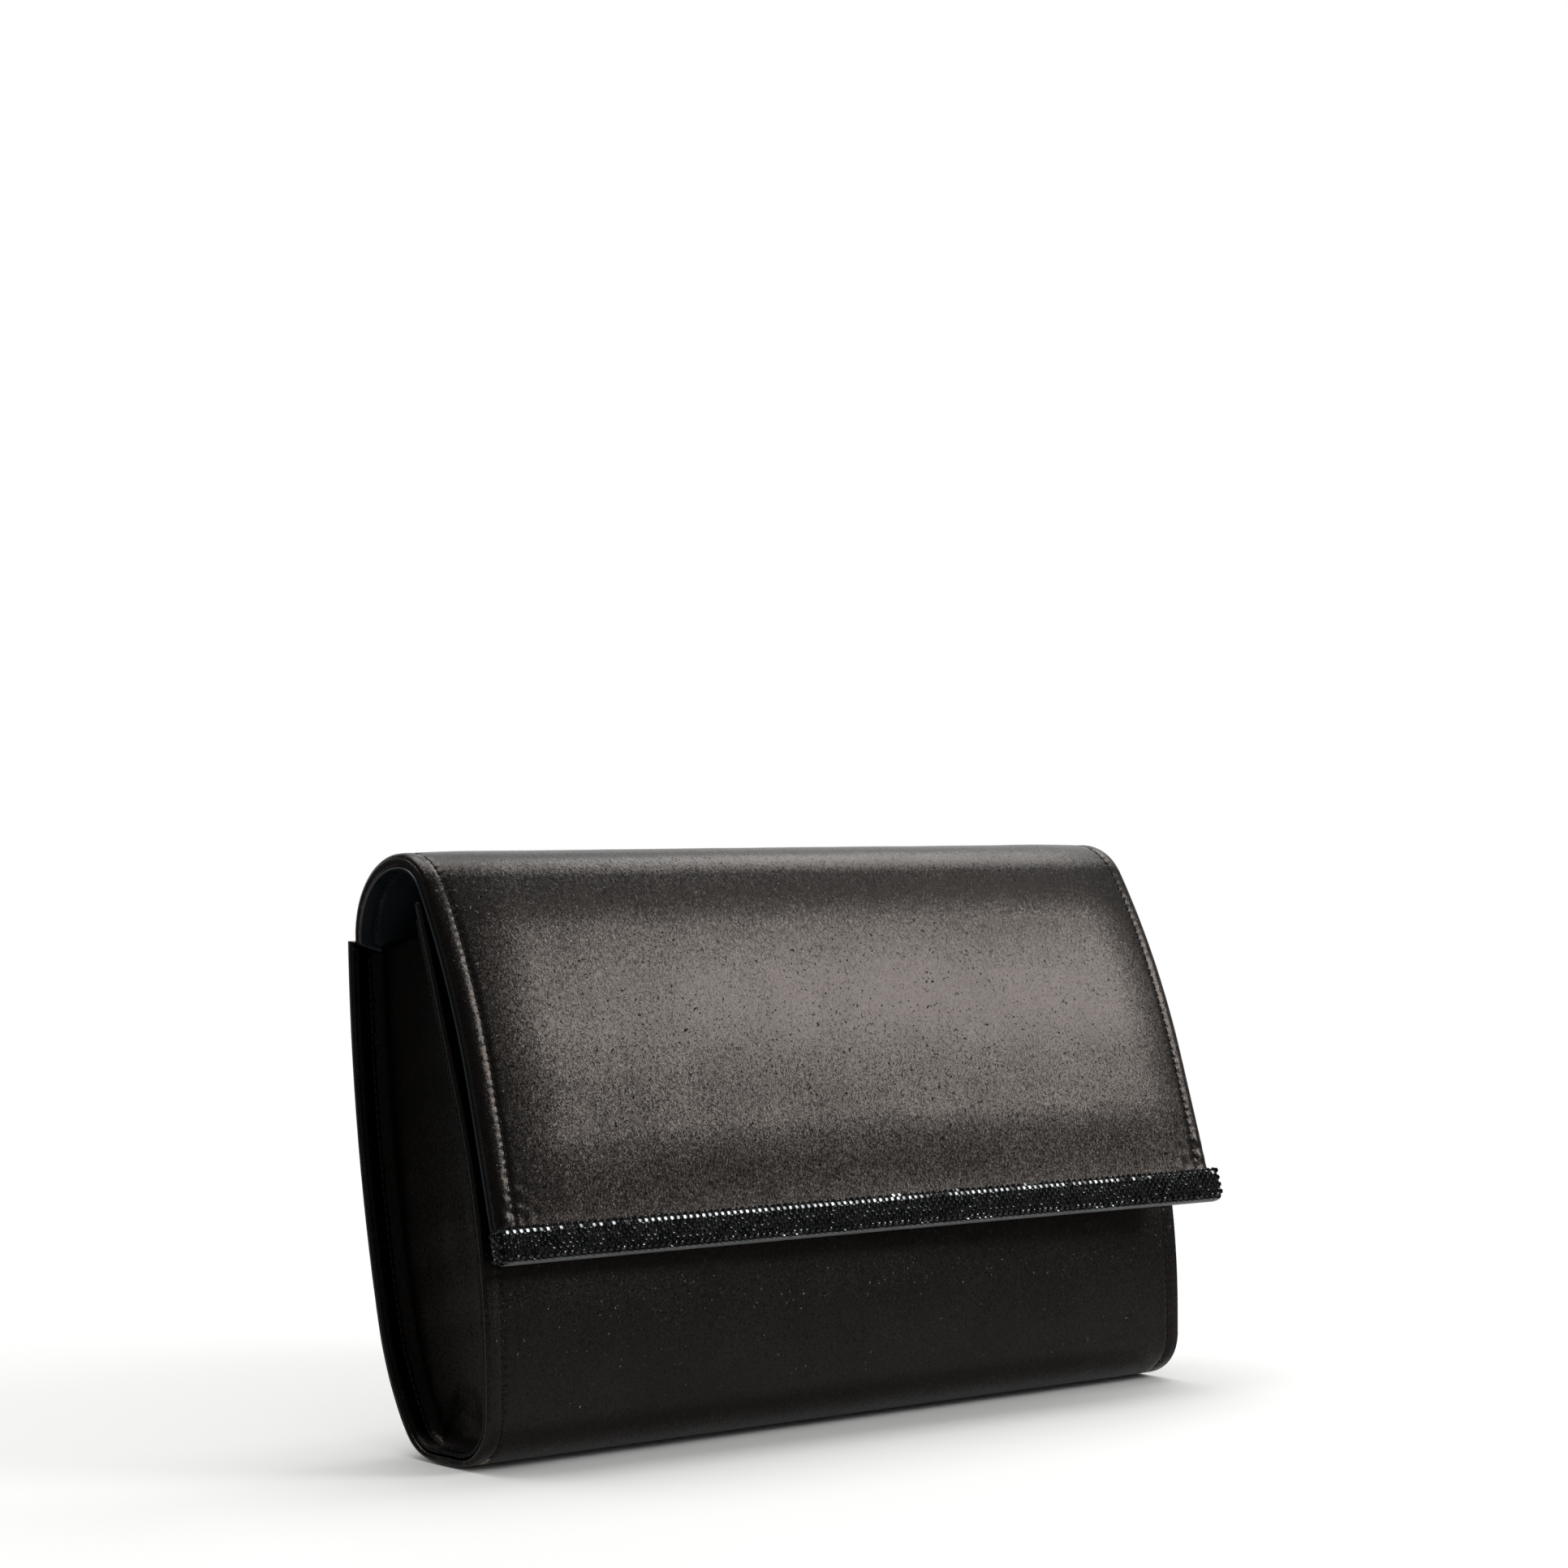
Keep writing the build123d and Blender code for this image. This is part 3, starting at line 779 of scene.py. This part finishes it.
def make_flap():
    across = edge_samples(half_flap, 1.6 * MM, 0.5 * MM, 15 * MM, 1.3 * MM)
    cover = Sheet(flap, across, flap_along, flap_outer, flap_inside, 4, flap_shift, ends=(False, False))
    across = edge_samples(half_lining, 1.8 * MM, 0.55 * MM, 9 * MM, lining_proud)
    lining = Sheet(flap, across, flap_along, lining_outer, lining_inner, 1, flap_shift, ends=(True, False))
    tuck_tail(cover)
    tuck_tail(lining)
    for name, low, high, body_a, body_b, begin, end in flap_cuts:
        low_row = None if name == "rear" else low
        high_row = None if name == "front" else high
        satin_piece = cover.make(f"flap_satin_{name}", satin_cloth, low_row, high_row)
        leather_piece = lining.make(f"flap_lining_{name}", arch_leather, low_row, high_row)
        thread_piece = thread_line(f"flap_stitches_{name}", flap_stitches(low, high))
        for piece in (satin_piece, leather_piece, thread_piece):
            bend_over(piece, body_a, body_b, begin, end)
        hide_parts(*flap_stands_for[name][0])
        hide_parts(*flap_stands_for[name][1])


make_flap()


# ---- the crystal bar

bar_proud = 1.9 * MM
bar_behind = 3.3 * MM
bar_height = 9.5 * MM
bar_corner = 1.9 * MM
mesh_inset = 0.3 * MM  # of the mesh that the stones sit in
corner_points = 7  # on each arc of the bar's section


def rounded_outline(inset):
    """The bar's section as (outwards, along) corners with arcs, closed, starting at its top's back."""
    outer, inner = bar_proud - inset, -bar_behind + inset
    top, bottom = inset, bar_height - inset
    radius = bar_corner - inset
    centres = (
        (inner + radius, top + radius), (outer - radius, top + radius),
        (outer - radius, bottom - radius), (inner + radius, bottom - radius),
    )
    outline = []
    for (u, v), start in zip(centres, (180, 270, 0, 90)):
        for angle in np.radians(np.linspace(start, start + 90, corner_points)):
            outline.append((u + radius * cos(angle), v + radius * sin(angle)))
    return np.array(outline)


def on_bar(x, outwards, along):
    """Bar section coordinates in the frame. Outwards is away from the flap's face."""
    x, outwards, along = np.broadcast_arrays(x, outwards, along)
    return lift(flap, x, flap.length + along, -outwards, flap_shift)


def make_bar_body():
    """The mesh that the stones sit in: a rounded bar with rounded ends."""
    # In from the bar's end, and how much smaller its section is there, in millimetres
    end_steps = ((0, 1.3), (0.25, 0.7), (0.7, 0.25), (1.3, 0))
    end = [(-half_bar + (0.35 + gone) * MM, inset * MM) for gone, inset in end_steps]
    middle = [(x, 0) for x in np.linspace(-half_bar + 4 * MM, half_bar - 4 * MM, 60)]
    places = end + middle + [(-x, inset) for x, inset in end[::-1]]
    section = rounded_outline(mesh_inset)
    centre = section.mean(axis=0)
    rings = []
    for x, inset in places:
        u, v = (centre + (section - centre) * (1 - inset / (bar_height / 2))).T
        rings.append(on_bar(x, u, v))
    faces = tube_faces(len(rings), len(section), flipped=True)
    body = new_object("bar_mesh_body", np.concatenate(rings), faces, mesh_metal)
    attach(body, "flap")
    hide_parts("bar_sleeve", "bar_core")


def stone(centre, outward, along, random):
    """One faceted stone: an eight-sided table, crown facets and a girdle."""
    sides = 8
    outward = outward + random.normal(0, 0.02, 3)
    outward /= np.linalg.norm(outward)
    side = np.cross(outward, along)
    side /= np.linalg.norm(side)
    along = np.cross(side, outward)
    turn = random.uniform(0, WHOLE_TURN)
    # The girdle's lower and upper rings and the table's: radius, height and turn
    rings = (
        (stone_radius, -0.25 * MM, 0), (stone_radius, 0.12 * MM, 0), (table_radius, 0.38 * MM, pi / sides),
    )
    points = []
    for radius, height, offset in rings:
        for k in range(sides):
            angle = turn + offset + WHOLE_TURN * k / sides
            points.append(centre + (side * cos(angle) + along * sin(angle)) * radius + outward * height)
    faces = []
    for k in range(sides):
        following = (k + 1) % sides
        top, top_next = sides + k, sides + following
        table, table_next = 2 * sides + k, 2 * sides + following
        faces.append((k, following, top_next, top))
        faces.append((top, top_next, table))
        faces.append((top_next, table_next, table))
    faces.append(tuple(range(2 * sides, 3 * sides)))
    return points, faces


def stone_rows(random):
    """Each stone's centre, outward direction and direction along its row, over the mesh's face."""
    outline = rounded_outline(mesh_inset)
    # from the top, just outside the flap's face, round the front to the back of the bottom
    bottom = 3 * corner_points
    last = [-bar_behind + 1.8 * MM, outline[bottom][1]]
    exposed = np.concatenate([outline[corner_points + 3:bottom + 1], [last]])
    steps = np.linalg.norm(np.diff(exposed, axis=0), axis=1)
    gone = np.concatenate([[0], np.cumsum(steps)])

    def section_at(place):
        return np.array([np.interp(place, gone, exposed[:, k]) for k in (0, 1)])

    rows = int(gone[-1] / (stone_pitch / 2))
    count = int(2 * (half_bar - 0.9 * MM) / stone_pitch)
    for row, place in enumerate(np.linspace(0, gone[-1], rows + 1)):
        u, v = section_at(place)
        ahead_u, ahead_v = section_at(place + 0.3 * MM) - section_at(place - 0.3 * MM)
        droop = stone_droops[min(row, len(stone_droops) - 1)]
        for k in range(count + 1):
            x = (k - count / 2 + 0.5 * (row % 2)) * stone_pitch
            if abs(x) > half_bar - 0.8 * MM:
                continue
            x = x + random.normal(0, 0.03) * MM
            sway = droop + 0.07 * ripple(x, row * 7 * MM, 26 * MM, 8)
            centre = on_bar(x, u, v)
            outward = on_bar(x, u + ahead_v + sway * ahead_u, v - ahead_u + sway * ahead_v) - centre
            yield centre, outward / np.linalg.norm(outward), np.array([1.0, 0, 0])


def end_stones():
    """The same for the stones on the bar's two ends."""
    for side in (-1, 1):
        x = side * (half_bar - 0.4 * MM)
        for column in range(6):
            for row in range(5):
                u = bar_proud - 0.95 * MM - column * stone_pitch / 2
                v = MM + row * stone_pitch + (column % 2) * stone_pitch / 2
                if u < -bar_behind + 0.7 * MM or v > bar_height - 0.9 * MM:
                    continue
                centre = on_bar(x, u, v)
                below = on_bar(x, u, v + MM) - centre
                yield centre, np.array([side * 1.0, 0, 0]), below / np.linalg.norm(below)


def make_stones():
    random = np.random.default_rng(5)
    solids = [stone(*place, random) for place in stone_rows(random)]
    solids += [stone(*place, random) for place in end_stones()]
    points, faces = joined(solids)
    stones = new_object("bar_crystals", points, faces, crystal_glass, smooth_shaded=False)
    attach(stones, "flap")


def make_bar_tape():
    """The plain strip over the mesh's seam, behind the bar and along its lower edge."""
    xs = spaced(-half_flap, half_flap, 2 * MM)
    points, weave = [], []
    for inset in (-0.28 * MM, 0.2 * MM):
        upper_end = [-bar_behind + inset, 1.6 * MM]
        path = np.concatenate([rounded_outline(inset)[2 * corner_points + 4:], [upper_end]])
        for u, v in path:
            points.append(on_bar(xs, u, v))
            weave.append(np.stack([xs, np.full(len(xs), v + u)], axis=-1))
    faces = slab_faces(len(path), len(xs), ("top", "bottom", "left", "right"))
    tape = new_object("bar_tape", np.concatenate(points), faces, tape_cloth, np.concatenate(weave))
    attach(tape, "flap")
    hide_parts("bar_backing")


make_bar_body()
make_stones()
make_bar_tape()


# ---- the shell

shell_edge = 0.9 * MM  # the radius of the wrap's edges


def shell_outer(x, s):
    distance = half_body - abs(x)
    to_end = np.minimum(s, wrap.length - s)
    beside_base = abs(s - base_middle)
    crown = 0.45 * MM * smooth(distance, 5 * MM, 20 * MM) * smooth(to_end, 0, 20 * MM)
    base = 1 - smooth(beside_base, 8 * MM, 26 * MM)
    bead = 0.1 * MM * hump(distance, bead_inset, MM)
    sewn = side_sewing(distance, s, depth=0.22 * MM, pucker=0.04 * MM, drawn=0.35 * MM)
    sewn = np.where(base > 0, np.maximum(sewn, 0), sewn)
    uneven = 0.13 * MM * ripple(x, s, 48 * MM, 31) + 0.03 * MM * ripple(x, s, 12 * MM, 32)
    uneven = uneven * smooth(distance, 4 * MM, 14 * MM) * (1 - base)
    lifted = 0.7 * MM * smooth(beside_base, MM, 9 * MM) * (1 - smooth(beside_base, 9 * MM, 24 * MM))
    edge = rim_rounding(distance, to_end, shell_edge)
    return edge - (crown + bead) * (1 - base) + sewn + uneven + lifted


def shell_inner(x, s):
    distance = half_body - abs(x)
    edge = rim_rounding(distance, np.minimum(s, wrap.length - s), shell_edge)
    return wall - edge + side_sewing(distance, s, depth=-0.25 * MM, pucker=0.03 * MM, drawn=-0.1 * MM)


def make_shell():
    across = edge_samples(half_body, 3 * MM, 0.5 * MM, 13 * MM, shell_edge)
    ends = curl(shell_edge)
    middle = spaced(1.3 * MM, wrap.length - 1.3 * MM, 0.62 * MM)
    along = np.concatenate([ends, middle, wrap.length - ends[::-1]])
    shell = Sheet(wrap, across, along, shell_outer, shell_inner, 2).make("shell_satin", satin_cloth)
    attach(shell, "bag")
    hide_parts("shell_cover")
    begin = next_hole(3 * MM)
    count = int((wrap.length - 6 * MM) / stitch_pitch)
    end = begin + (count - 1) * stitch_pitch
    pairs = []
    for side in (-1, 1):
        pairs += stitches(wrap, side * (half_body - stitch_inset), begin, end, shell_outer, -0.02 * MM)
    thread = thread_line("shell_stitches", pairs)
    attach(thread, "bag")


def lining_back(x, s):
    return np.full(x.shape, wall - 0.2 * MM)


def lining_face(x, s):
    puckers = 0.15 * MM * ripple(x, s, 26 * MM, 41) + 0.04 * MM * ripple(x, s, 7 * MM, 42)
    return wall + 0.28 * MM + puckers


def make_shell_lining():
    half = half_body - flange_reach
    across = spaced(-half, half, 3 * MM)
    along = spaced(11 * MM, wrap.length - 11 * MM, 2 * MM)
    lining = Sheet(wrap, across, along, lining_back, lining_face, 1).make("shell_lining_cloth", inner_cloth)
    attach(lining, "bag")
    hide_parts("shell_lining")


make_shell()
make_shell_lining()


# ---- the gussets

gusset_begin = 4 * MM
gusset_end = wrap.length - 2 * MM
gusset_inner = wall + flange
half_flange = half_body - flange_setback
flange_edge = 0.5 * MM  # the radius of a flange's edges
panel_thickness = 2.1 * MM


def flange_rim(x, s):
    to_end = np.minimum(s - gusset_begin, gusset_end - s)
    return rim_rounding(half_flange - abs(x), to_end, flange_edge)


def flange_outer(x, s):
    return wall + 0.12 * MM + flange_rim(x, s)


def flange_inner(x, s):
    rim = half_flange - abs(x)
    sewn = side_sewing(half_body - abs(x), s, depth=-0.3 * MM, pucker=0.06 * MM, drawn=-0.2 * MM)
    crumple = 0.12 * MM * ripple(x, s, 6 * MM, 51) * smooth(rim, MM, 5 * MM)
    swell = 0.15 * MM * hump(rim, 1.4 * MM, MM)
    return gusset_inner + 0.25 * MM - flange_rim(x, s) + sewn + crumple + swell


def gusset_panel_points():
    """A grid over an end panel, from its top down to the base: its Y and Z, and how far in it stands."""
    rows, columns = 110, 46
    fall = np.linspace(0, 1, rows) ** 0.9
    depth = gusset_inner + 0.1 * MM
    front_points, _ = wrap.at(gusset_begin + fall * (base_middle - gusset_begin), depth)
    back_points, _ = wrap.at(gusset_end - fall * (gusset_end - base_middle), depth)
    share = 0.5 - 0.5 * np.cos(np.linspace(0, pi, columns))
    flat = front_points[:, None] * (1 - share[:, None]) + back_points[:, None] * share[:, None]
    y, z = flat[..., 0], flat[..., 1]
    width = np.linalg.norm(back_points - front_points, axis=1)[:, None]
    to_sides = np.minimum(share, 1 - share) * width
    to_base = np.clip(z - (floor_height + depth), 0, None)
    edge = np.minimum(to_sides, to_base * 0.9)
    fillet = 1.9 * MM * np.clip(1 - edge / (3.2 * MM), 0, 1) ** 2
    hollow = 1.7 * MM * smooth(edge, MM, 16 * MM)
    slack = 0.18 * MM * ripple(y, z, 24 * MM, 61) * smooth(edge, MM, 8 * MM)
    crumple = 0.11 * MM * ripple(y, z, 6.5 * MM, 62) * smooth(edge, 0.3 * MM, 4 * MM)
    crumple = crumple * hump(z, floor_height + 9 * MM, 13 * MM)
    return flat, gusset_recess + hollow + slack + crumple - fillet


def end_slab(name, side, flat, front, back, material):
    """A panel across one end of the bag, between two distances in from its side edge, open below."""
    layers = []
    for inwards in (front, back):
        x = side * (half_body - inwards)
        layers.append(np.concatenate([x[..., None], flat], axis=-1).reshape(-1, 3))
    faces = slab_faces(*front.shape, ("top",), flipped=side > 0)
    weave = np.tile(flat.reshape(-1, 2), (2, 1))
    return new_object(name, np.concatenate(layers), faces, material, weave)


def make_gusset_rim(side, word):
    """The turned edge that is sewn to the wall."""
    ends = curl(flange_edge, 4)
    inner_end = half_body - flange_reach
    across = np.concatenate([half_flange - ends, np.arange(half_flange - MM, inner_end, -0.45 * MM)])
    middle = spaced(gusset_begin + MM, gusset_end - MM, 0.6 * MM)
    along = np.concatenate([gusset_begin + ends, middle, gusset_end - ends[::-1]])
    sheet = Sheet(wrap, np.sort(side * across), along, flange_outer, flange_inner, 1)
    rim_piece = sheet.make(f"gusset_rim_{word}", gusset_shade_satin)
    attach(rim_piece, "bag")
    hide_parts(f"gusset_cover_{word}")


def make_gusset_panel(side, word, flat, inwards):
    panel = end_slab(f"gusset_panel_{word}", side, flat, inwards, inwards + panel_thickness, gusset_shade_satin)
    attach(panel, "bag")
    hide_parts(f"gusset_stiffener_{word}")


def make_gusset_inside(side, word, flat, inwards):
    """The lining on the panel's back, which begins a little below its top."""
    below_top = slice(2, None)
    face = (inwards + panel_thickness)[below_top]
    inside = end_slab(
        f"gusset_inside_{word}", side, flat[below_top], face + 0.05 * MM, face + 0.5 * MM, inner_cloth,
    )
    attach(inside, "bag")
    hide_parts(f"gusset_lining_{word}")


def make_gusset_stitches(side, word):
    begin = next_hole(gusset_begin + 2 * MM)
    count = int((gusset_end - 2 * MM - begin) / stitch_pitch)
    x = side * (half_body - stitch_inset)
    pairs = stitches(wrap, x, begin, begin + count * stitch_pitch, flange_inner, 0.02 * MM)
    thread = thread_line(f"gusset_stitches_{word}", pairs)
    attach(thread, "bag")


def make_gussets():
    flat, inwards = gusset_panel_points()
    for side, word in ((-1, "left"), (1, "right")):
        make_gusset_rim(side, word)
        make_gusset_panel(side, word, flat, inwards)
        make_gusset_inside(side, word, flat, inwards)
        make_gusset_stitches(side, word)


make_gussets()


# ---- the inside pocket

pocket_half = 75 * MM
pocket_top = wrap.length - 24 * MM
pocket_bottom = pocket_top - 62 * MM
pocket_cloth = 0.6 * MM
binding_width = 4 * MM
binding_top = pocket_top + 0.5 * MM
binding_edge = 0.7 * MM


def pocket_back(x, s):
    """The pocket's face on the lining: it stands off it, away from its sewn edges."""
    distance = np.minimum(pocket_half - abs(x), s - pocket_bottom)
    loose = smooth(distance, 2 * MM, 12 * MM)
    return wall + 0.55 * MM + (MM + 0.2 * MM * ripple(x, s, 20 * MM, 71)) * loose


def pocket_front(x, s):
    return pocket_back(x, s) + pocket_cloth


def binding_back(x, s):
    return pocket_front(x, s) - MM + rounding(binding_top - s, binding_edge)


def binding_front(x, s):
    folded = rounding(binding_top - s, binding_edge)
    lower = rounding(s - (pocket_top - binding_width), 0.3 * MM)
    return pocket_front(x, s) + 0.4 * MM - folded - lower


def make_pocket():
    across = spaced(-pocket_half, pocket_half, 1.5 * MM)
    along = spaced(pocket_bottom, pocket_top, 1.2 * MM)
    pocket = Sheet(wrap, across, along, pocket_back, pocket_front, 1).make("inside_pocket", inner_cloth)
    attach(pocket, "bag")
    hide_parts("slip_pocket")


def make_pocket_tape():
    across = spaced(-pocket_half + 3 * MM, pocket_half - 3 * MM, 1.5 * MM)
    along = spaced(pocket_top - binding_width, binding_top, 0.5 * MM)
    binding = Sheet(wrap, across, along, binding_back, binding_front, 1).make("pocket_tape", arch_leather)
    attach(binding, "bag")
    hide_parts("pocket_binding")


def make_pocket_stitches():
    pairs = []
    for side in (-1, 1):
        x = side * (pocket_half - 1.5 * MM)
        pairs += stitches(wrap, x, pocket_bottom + 2 * MM, pocket_top - MM, pocket_front, 0.1 * MM)
    thread = thread_line("pocket_stitches", pairs)
    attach(thread, "bag")


make_pocket()
make_pocket_tape()
make_pocket_stitches()


# ---- the CAD parts that stay

cad_materials = {
    "front_board": board_material,
    "base_board": board_material,
    "back_board": board_material,
    "snap_socket_magnet": magnet_metal,
}
for name, node in frame["nodes"].items():
    if node.hide_render:
        continue
    node.data.materials.clear()
    node.data.materials.append(cad_materials.get(name, snap_metal))


# ---- floor, light and camera

camera_azimuth = -40  # from straight in front towards the right
camera_pitch = 0.184  # degrees above level
camera_place = (-0.6848, -0.8103, 0.1723)
camera_lens = 87.06  # millimetres, on a 36 mm sensor
light_target = np.array([0, 0, 0.08])


def sweep_brightness(m, direction):
    """The studio's brightness in a direction: a white sweep behind the purse, a dim room elsewhere.

    The camera sees white all round, and the soft light on matt surfaces comes from a bright room.
    """
    behind = (sin(radians(-camera_azimuth)), cos(radians(-camera_azimuth)), 0)
    facing = m.vector("DOT_PRODUCT", m.vector("NORMALIZE", direction), behind)
    room = m.ramp(facing, 0.45, 0.95, 0.12, 1.0)
    path = m.add("ShaderNodeLightPath")
    seen = m.math("MAXIMUM", room, path.outputs["Is Camera Ray"])
    soft = m.math("MULTIPLY", path.outputs["Is Diffuse Ray"], 0.95)
    return m.math("MAXIMUM", seen, soft)


def floor_material():
    """Pale and matt under the purse, fading into the sweep's brightness further out."""
    m = Material("pale_floor")
    tone = m.mix(m.clouds(0.5), (0.5, 0.5, 0.495, 1), (0.51, 0.51, 0.505, 1))
    material = m.finish(Base_Color=tone, Roughness=0.7, Specular_IOR_Level=0.2)
    place = m.add("ShaderNodeTexCoord").outputs["Object"]
    far = m.ramp(m.vector("LENGTH", place), 0.2, 0.55)
    mirrored = m.math("MULTIPLY", m.add("ShaderNodeLightPath").outputs["Is Glossy Ray"], 0.5)
    glow = m.add("ShaderNodeEmission")
    m.put(glow, Color=sweep_brightness(m, place))
    blend = m.add("ShaderNodeMixShader")
    m.fill(blend.inputs, (m.math("MAXIMUM", far, mirrored), m.shader.outputs[0], glow.outputs[0]))
    m.feed(m.output.inputs["Surface"], blend.outputs[0])
    return material


def make_floor():
    half = 6.0
    corners = ((-half, -half), (half, -half), (half, half), (-half, half))
    points = [(x, y, floor_height) for x, y in corners]
    floor = new_object("floor", points, [(0, 1, 2, 3)], floor_material(), smooth_shaded=False)


def area_light(name, azimuth, elevation, distance, size, power):
    """A soft box. Azimuth is from straight in front towards the right; all in degrees and metres."""
    a, e = radians(azimuth), radians(elevation)
    away = np.array([sin(a) * cos(e), -cos(a) * cos(e), sin(e)])
    data = bpy.data.lights.new(name, "AREA")
    data.shape = "RECTANGLE"
    data.size, data.size_y = size
    data.energy = power
    light = bpy.data.objects.new(name, data)
    light.location = light_target + away * distance
    light.rotation_mode = "QUATERNION"
    light.rotation_quaternion = Vector(-away).to_track_quat("-Z", "Y")
    bpy.context.scene.collection.objects.link(light)


def make_lights():
    area_light("key_softbox", azimuth=46, elevation=29.3, distance=1.5, size=(0.5, 0.54), power=14)
    area_light("top_softbox", azimuth=102, elevation=50, distance=1.6, size=(0.8, 0.38), power=6.8)
    area_light("overhead_softbox", azimuth=180, elevation=76, distance=1.8, size=(1.6, 1.2), power=33)
    world = bpy.data.worlds.new("studio")
    world.use_nodes = True
    w = Nodes(world.node_tree)
    source = w.add("ShaderNodeTexCoord").outputs["Generated"]
    w.put(world.node_tree.nodes["Background"], Color=sweep_brightness(w, source))
    bpy.context.scene.world = world


def make_camera():
    """Level with the purse's upper part, off its left front corner."""
    data = bpy.data.cameras.new("camera")
    data.lens = camera_lens
    data.sensor_width = 36
    camera = bpy.data.objects.new("camera", data)
    camera.location = camera_place
    camera.rotation_euler = (radians(90 + camera_pitch), 0, radians(camera_azimuth))
    bpy.context.scene.collection.objects.link(camera)
    bpy.context.scene.camera = camera


make_floor()
make_lights()
make_camera()
bpy.context.scene.view_settings.view_transform = "Standard"
